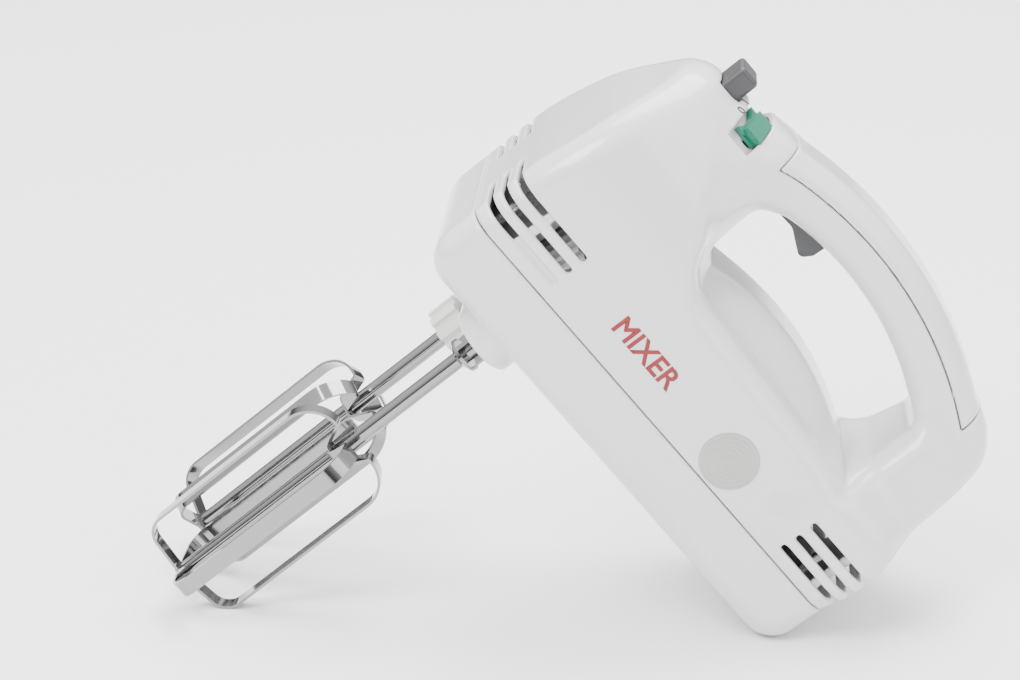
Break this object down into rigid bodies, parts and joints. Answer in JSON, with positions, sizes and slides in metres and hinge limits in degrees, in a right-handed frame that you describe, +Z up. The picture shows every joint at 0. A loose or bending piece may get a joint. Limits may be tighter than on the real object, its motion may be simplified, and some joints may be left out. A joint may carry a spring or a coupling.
{
  "type": "hand mixer",
  "caption": "Hand-held electric food mixer: closed handle over a vented motor casing, thumb speed selector, eject button and wire beaters pushed into sockets under the nose.",
  "frame": {"origin": "middle of the underside of the whole object's box, on the floor it lies on", "axes": "+X from the beaters towards the heel, +Y towards the mixer's right-hand side, +Z up from the floor"},
  "size_m": [0.2936, 0.0826, 0.1989],
  "materials": {
    "white_shell": "satin moulded",
    "grey_button": "fine grain",
    "green_selector": "satin",
    "dark_grey": "fine grain",
    "black_rubber": "matt",
    "silver_label": "brushed",
    "chromed_wire": "bright plated",
    "white_nylon": "natural",
    "cast_frame": "as cast",
    "bronze": "sintered",
    "laminations": "stamped",
    "copper": "enamelled",
    "carbon": "dull",
    "circuit_board": "lacquered",
    "capacitor_case": "moulded",
    "grey_moulding": "moulded",
    "steel": "machined"
  },
  "bodies": {
    "casing": {"base_cover": "white_shell", "brush_holders": "bronze", "brush_springs": "steel", "carbon_brushes": "carbon", "control_board": "circuit_board", "cord_inlet": "black_rubber", "eject_spring": "steel", "field_coils": "copper", "frame_screws": "steel", "front_bearing": "bronze", "gearbox_frame": "cast_frame", "handle_cap": "white_shell", "housing_screws": "steel", "middle_bearing": "bronze", "motor_bolts": "steel", "pulse_switch": "dark_grey", "rear_bearing": "bronze", "rear_bracket": "grey_moulding", "selector_pin": "steel", "side_label": "silver_label", "speed_switch": "dark_grey", "spindle_bushes": "bronze", "stator_core": "laminations", "suppression_capacitor": "capacitor_case", "thrust_plate": "steel", "trigger_pin": "steel", "trigger_spring": "steel", "upper_housing": "white_shell"},
    "rotor": {"motor_shaft": "steel", "worm": "steel", "commutator": "copper", "cooling_fan": "grey_moulding", "armature_core": "laminations", "armature_winding": "copper"},
    "wheel_left": {"worm_wheel_left": "white_nylon", "retaining_clip_left": "steel", "detent_ring_left": "steel"},
    "wheel_right": {"worm_wheel_right": "white_nylon", "retaining_clip_right": "steel", "detent_ring_right": "steel"},
    "ejector": {"ejector_bar": "grey_moulding", "eject_button": "grey_button"},
    "pin_left": {"push_pin_left": "steel"},
    "pin_right": {"push_pin_right": "steel"},
    "beater_left": {"beater_shaft_left": "chromed_wire", "beater_collar_left": "chromed_wire", "beater_outer_loop_left": "chromed_wire", "beater_inner_loop_left": "chromed_wire", "beater_sleeve_left": "chromed_wire"},
    "beater_right": {"beater_shaft_right": "chromed_wire", "beater_collar_right": "chromed_wire", "beater_outer_loop_right": "chromed_wire", "beater_inner_loop_right": "chromed_wire", "beater_sleeve_right": "chromed_wire", "bowl_gear": "white_nylon"},
    "selector": {"speed_selector": "green_selector"},
    "trigger": {"trigger": "dark_grey"}
  },
  "joints": [
    {"name": "motor_spin", "type": "hinge", "parent": "casing", "child": "rotor", "pos_m": [0.00558, 0.00135, 0.13315], "axis": [0.6459, 0, -0.7634], "continuous": true},
    {"name": "wheel_right_spin", "type": "hinge", "parent": "casing", "child": "wheel_right", "pos_m": [0.00558, 0.02235, 0.13315], "axis": [0.7634, 0, 0.6459], "continuous": true},
    {"name": "wheel_left_spin", "type": "hinge", "parent": "casing", "child": "wheel_left", "pos_m": [0.00558, -0.01965, 0.13315], "axis": [0.7634, 0, 0.6459], "continuous": true},
    {"name": "eject_slide", "type": "slide", "parent": "casing", "child": "ejector", "axis": [-0.7634, 0, -0.6459], "range_m": [0, 0.008], "stiffness_N_per_m": 500, "springref_m": -0.012, "deforming": ["eject_spring"]},
    {"name": "pin_right_spin", "type": "hinge", "parent": "ejector", "child": "pin_right", "pos_m": [0.02696, 0.02235, 0.15123], "axis": [0.7634, 0, 0.6459], "continuous": true},
    {"name": "pin_left_spin", "type": "hinge", "parent": "ejector", "child": "pin_left", "pos_m": [0.02696, -0.01965, 0.15123], "axis": [0.7634, 0, 0.6459], "continuous": true},
    {"name": "beater_right_slide", "type": "slide", "parent": "pin_right", "child": "beater_right", "axis": [-0.7634, 0, -0.6459], "range_m": [0, 0.045]},
    {"name": "beater_left_slide", "type": "slide", "parent": "pin_left", "child": "beater_left", "axis": [-0.7634, 0, -0.6459], "range_m": [0, 0.045]},
    {"name": "selector_turn", "type": "hinge", "parent": "casing", "child": "selector", "pos_m": [0.04851, 0.00135, 0.16292], "axis": [-0.6459, 0, 0.7634], "range_deg": [0, 66]},
    {"name": "trigger_press", "type": "hinge", "parent": "casing", "child": "trigger", "pos_m": [0.07958, 0.00135, 0.15252], "axis": [0, -1, 0], "range_deg": [0, 10], "stiffness_Nm_per_rad": 0.3, "springref_deg": -11.46, "deforming": ["trigger_spring"]}
  ],
  "couplings": [
    {"joint": "wheel_right_spin", "follows": "motor_spin", "ratio": -0.076923},
    {"joint": "wheel_left_spin", "follows": "motor_spin", "ratio": 0.076923},
    {"joint": "pin_right_spin", "follows": "motor_spin", "ratio": -0.076923},
    {"joint": "pin_left_spin", "follows": "motor_spin", "ratio": 0.076923}
  ]
}
